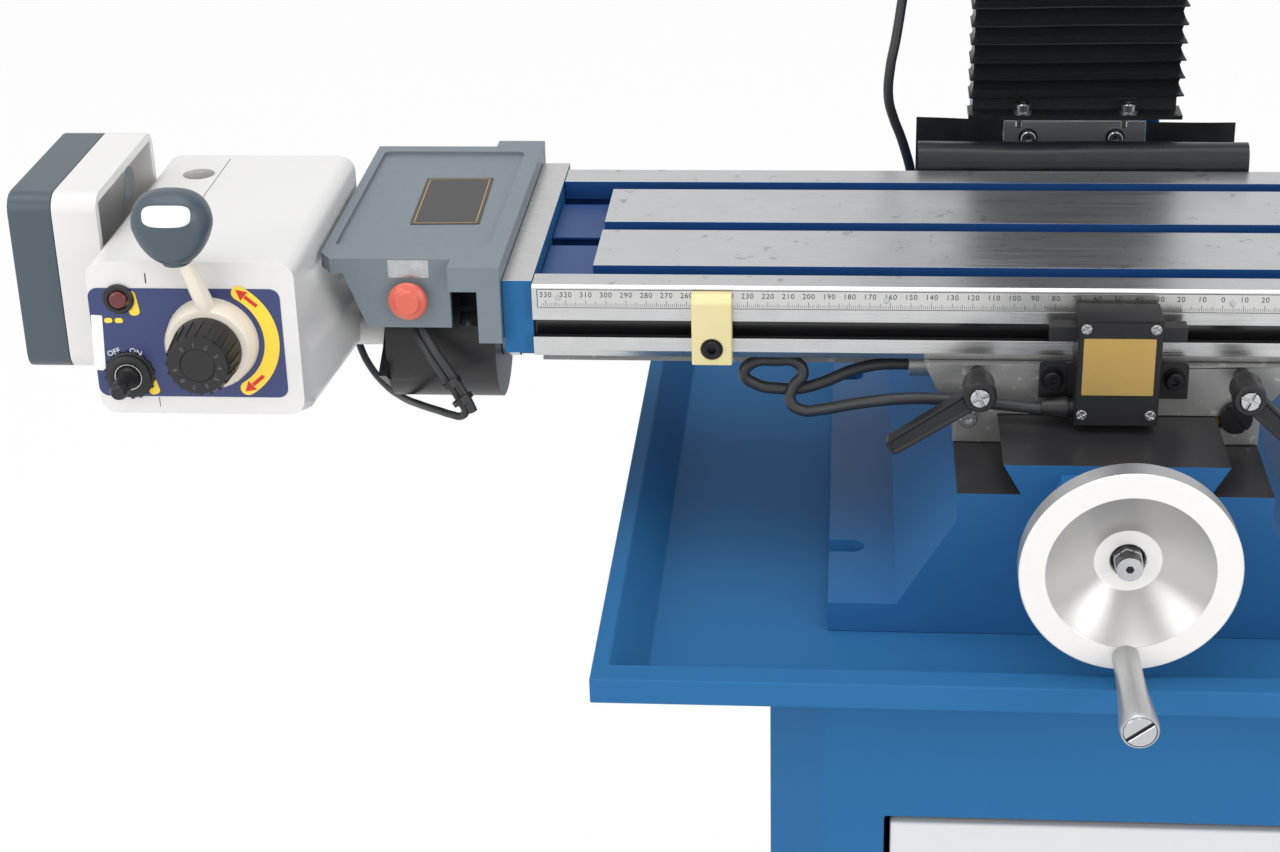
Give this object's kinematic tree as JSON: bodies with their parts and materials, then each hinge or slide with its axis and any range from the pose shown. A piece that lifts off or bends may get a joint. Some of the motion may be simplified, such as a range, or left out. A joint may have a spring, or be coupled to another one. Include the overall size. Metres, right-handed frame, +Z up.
{
  "type": "vertical milling machine",
  "caption": "Bench milling machine on a cabinet with chip tray, cross table with T-slots, geared head on a column, and a motor feed on the table's left end.",
  "frame": {"origin": "on the floor under the centre of the cabinet", "axes": "+Z up, -Y towards the operator, X along the table with the motor feed at -X"},
  "size_m": [1.07, 0.5955, 1.7553],
  "materials": {
    "machine_blue": "glossy enamel",
    "door_grey": "satin enamel",
    "ground_steel": "surface ground",
    "dark_steel": "machined, oiled",
    "turned_aluminium": "turned and polished",
    "hood_grey": "fine textured enamel",
    "cap_grey": "moulded, satin",
    "ivory": "satin enamel",
    "cream": "moulded",
    "black_plastic": "moulded",
    "black_rubber": "matt",
    "yellow": "satin enamel",
    "coral": "moulded",
    "stop_red": "moulded",
    "bronze": "machined"
  },
  "bodies": {
    "frame": {"cabinet": "machine_blue", "door_hinge": "dark_steel", "chip_tray": "machine_blue", "base_casting": "machine_blue", "y_bearing_bracket": "turned_aluminium", "column": "machine_blue", "column_cap": "machine_blue", "bellows_bracket": "turned_aluminium", "column_bellows": "black_rubber", "way_cover": "black_rubber", "control_box": "door_grey", "rear_lead": "black_rubber"},
    "door": {"cabinet_door": "door_grey", "door_pull": "black_plastic"},
    "saddle": {"saddle": "dark_steel", "saddle_gib": "bronze", "table_gib": "bronze", "limit_switch_box": "black_plastic", "y_nut": "bronze", "x_nut": "bronze", "limit_switch_lead": "black_rubber"},
    "lock_left": {"table_lock_left": "black_plastic"},
    "lock_right": {"table_lock_right": "black_plastic"},
    "plunger_left": {"limit_plunger_left": "black_plastic"},
    "plunger_right": {"limit_plunger_right": "black_plastic"},
    "table": {"table": "ground_steel", "table_scale": "turned_aluminium", "left_end_plate": "machine_blue", "right_end_plate": "machine_blue", "feed_hood": "hood_grey", "feed_drum": "black_plastic", "feed_gearbox": "ivory", "feed_side_cover": "ivory", "feed_end_cap": "cap_grey", "feed_motor": "dark_steel", "rapid_switch_lead": "black_rubber"},
    "stop_left": {"table_stop_left": "yellow"},
    "stop_right": {"table_stop_right": "yellow"},
    "feed_lever": {"feed_lever": "cream", "feed_lever_knob": "cap_grey"},
    "speed_knob": {"speed_knob": "black_plastic"},
    "power_toggle": {"power_toggle": "black_plastic"},
    "breaker_button": {"breaker_button": "coral"},
    "rapid_button": {"rapid_button": "coral"},
    "x_drive": {"x_screw": "dark_steel", "x_handwheel": "turned_aluminium"},
    "x_handle": {"x_handle": "turned_aluminium"},
    "y_drive": {"y_screw": "dark_steel", "y_handwheel": "turned_aluminium", "y_dial": "ground_steel"},
    "y_handle": {"y_handle": "turned_aluminium"},
    "z_screw": {"z_screw": "dark_steel"},
    "z_crank": {"z_handwheel": "turned_aluminium"},
    "carriage": {"head_carriage": "machine_blue"},
    "head": {"head_casting": "machine_blue", "spindle_motor": "cap_grey"},
    "emergency_stop": {"emergency_stop": "stop_red"},
    "quill": {"quill": "ground_steel"},
    "spindle": {"spindle": "ground_steel"},
    "feed_handle": {"quill_feed_handle": "dark_steel"}
  },
  "joints": [
    {"name": "door_swing", "type": "hinge", "parent": "frame", "child": "door", "pos_m": [0.1055, -0.2293, 0.38], "axis": [0, 0, 1], "range_deg": [0, 110]},
    {"name": "saddle_y", "type": "slide", "parent": "frame", "child": "saddle", "axis": [0, 1, 0], "range_m": [-0.085, 0.04], "deforming": ["way_cover"]},
    {"name": "table_x", "type": "slide", "parent": "saddle", "child": "table", "axis": [1, 0, 0], "range_m": [-0.24, 0.145]},
    {"name": "lock_left", "type": "hinge", "parent": "saddle", "child": "lock_left", "pos_m": [-0.064, -0.15, 0.8985], "axis": [0, 1, 0], "range_deg": [-25, 65]},
    {"name": "lock_right", "type": "hinge", "parent": "saddle", "child": "lock_right", "pos_m": [0.064, -0.15, 0.8985], "axis": [0, 1, 0], "range_deg": [-65, 15]},
    {"name": "plunger_left", "type": "slide", "parent": "saddle", "child": "plunger_left", "axis": [1, 0, 0], "range_m": [0, 0.006], "stiffness_N_per_m": 600, "springref_m": -0.003},
    {"name": "plunger_right", "type": "slide", "parent": "saddle", "child": "plunger_right", "axis": [-1, 0, 0], "range_m": [0, 0.006], "stiffness_N_per_m": 600, "springref_m": -0.003},
    {"name": "stop_left", "type": "slide", "parent": "table", "child": "stop_left", "axis": [1, 0, 0], "range_m": [-0.07, 0]},
    {"name": "stop_right", "type": "slide", "parent": "table", "child": "stop_right", "axis": [1, 0, 0], "range_m": [0, 0.07]},
    {"name": "feed_direction", "type": "hinge", "parent": "table", "child": "feed_lever", "pos_m": [-0.4382, -0.17, 0.924], "axis": [0, 1, 0], "range_deg": [-32, 32]},
    {"name": "feed_speed", "type": "hinge", "parent": "table", "child": "speed_knob", "pos_m": [-0.4382, -0.18, 0.924], "axis": [0, 1, 0], "range_deg": [0, 300]},
    {"name": "feed_power", "type": "hinge", "parent": "table", "child": "power_toggle", "pos_m": [-0.4817, -0.159, 0.9055], "axis": [1, 0, 0], "range_deg": [-14, 14]},
    {"name": "feed_breaker", "type": "slide", "parent": "table", "child": "breaker_button", "axis": [0, 1, 0], "range_m": [0, 0.003], "stiffness_N_per_m": 300, "springref_m": -0.002},
    {"name": "feed_rapid", "type": "slide", "parent": "table", "child": "rapid_button", "axis": [0, 1, 0], "range_m": [0, 0.0035], "stiffness_N_per_m": 300, "springref_m": -0.002},
    {"name": "x_wheel", "type": "hinge", "parent": "table", "child": "x_drive", "pos_m": [0.4412, -0.065, 0.893], "axis": [1, 0, 0], "range_deg": [-21601, 13051]},
    {"name": "x_grip", "type": "hinge", "parent": "x_drive", "child": "x_handle", "pos_m": [0.4912, -0.065, 0.8507], "axis": [1, 0, 0], "continuous": true},
    {"name": "y_wheel", "type": "hinge", "parent": "frame", "child": "y_drive", "pos_m": [0, -0.25, 0.8584], "axis": [0, 1, 0], "range_deg": [-7651, 3601]},
    {"name": "y_grip", "type": "hinge", "parent": "y_drive", "child": "y_handle", "pos_m": [0, -0.29, 0.8161], "axis": [0, 1, 0], "continuous": true},
    {"name": "head_z", "type": "slide", "parent": "frame", "child": "carriage", "axis": [0, 0, 1], "range_m": [-0.18, 0.1], "deforming": ["column_bellows"]},
    {"name": "z_screw_turn", "type": "hinge", "parent": "frame", "child": "z_screw", "pos_m": [0, 0.15, 1.3], "axis": [0, 0, 1], "range_deg": [-16201, 9001]},
    {"name": "z_crank", "type": "hinge", "parent": "frame", "child": "z_crank", "pos_m": [0.11, 0.15, 1.7003], "axis": [1, 0, 0], "range_deg": [-16201, 9001]},
    {"name": "head_tilt", "type": "hinge", "parent": "carriage", "child": "head", "pos_m": [0, 0.0917, 1.36], "axis": [0, 1, 0], "range_deg": [-30, 30]},
    {"name": "emergency_stop", "type": "slide", "parent": "head", "child": "emergency_stop", "axis": [0, 1, 0], "range_m": [0, 0.005], "stiffness_N_per_m": 500, "springref_m": -0.002},
    {"name": "quill_feed", "type": "slide", "parent": "head", "child": "quill", "axis": [0, 0, 1], "range_m": [-0.06, 0], "stiffness_N_per_m": 500, "springref_m": 0.2},
    {"name": "spindle_spin", "type": "hinge", "parent": "quill", "child": "spindle", "pos_m": [0, -0.05, 1.3], "axis": [0, 0, 1], "continuous": true},
    {"name": "feed_handle_turn", "type": "hinge", "parent": "head", "child": "feed_handle", "pos_m": [0.11, 0, 1.372], "axis": [1, 0, 0], "range_deg": [-1, 231]}
  ],
  "couplings": [
    {"joint": "x_wheel", "follows": "table_x", "rad_per_m": 1570.8},
    {"joint": "y_wheel", "follows": "saddle_y", "rad_per_m": 1570.8},
    {"joint": "z_screw_turn", "follows": "head_z", "rad_per_m": 1570.8},
    {"joint": "z_crank", "follows": "head_z", "rad_per_m": 1570.8},
    {"joint": "feed_handle_turn", "follows": "quill_feed", "rad_per_m": -66.667}
  ]
}
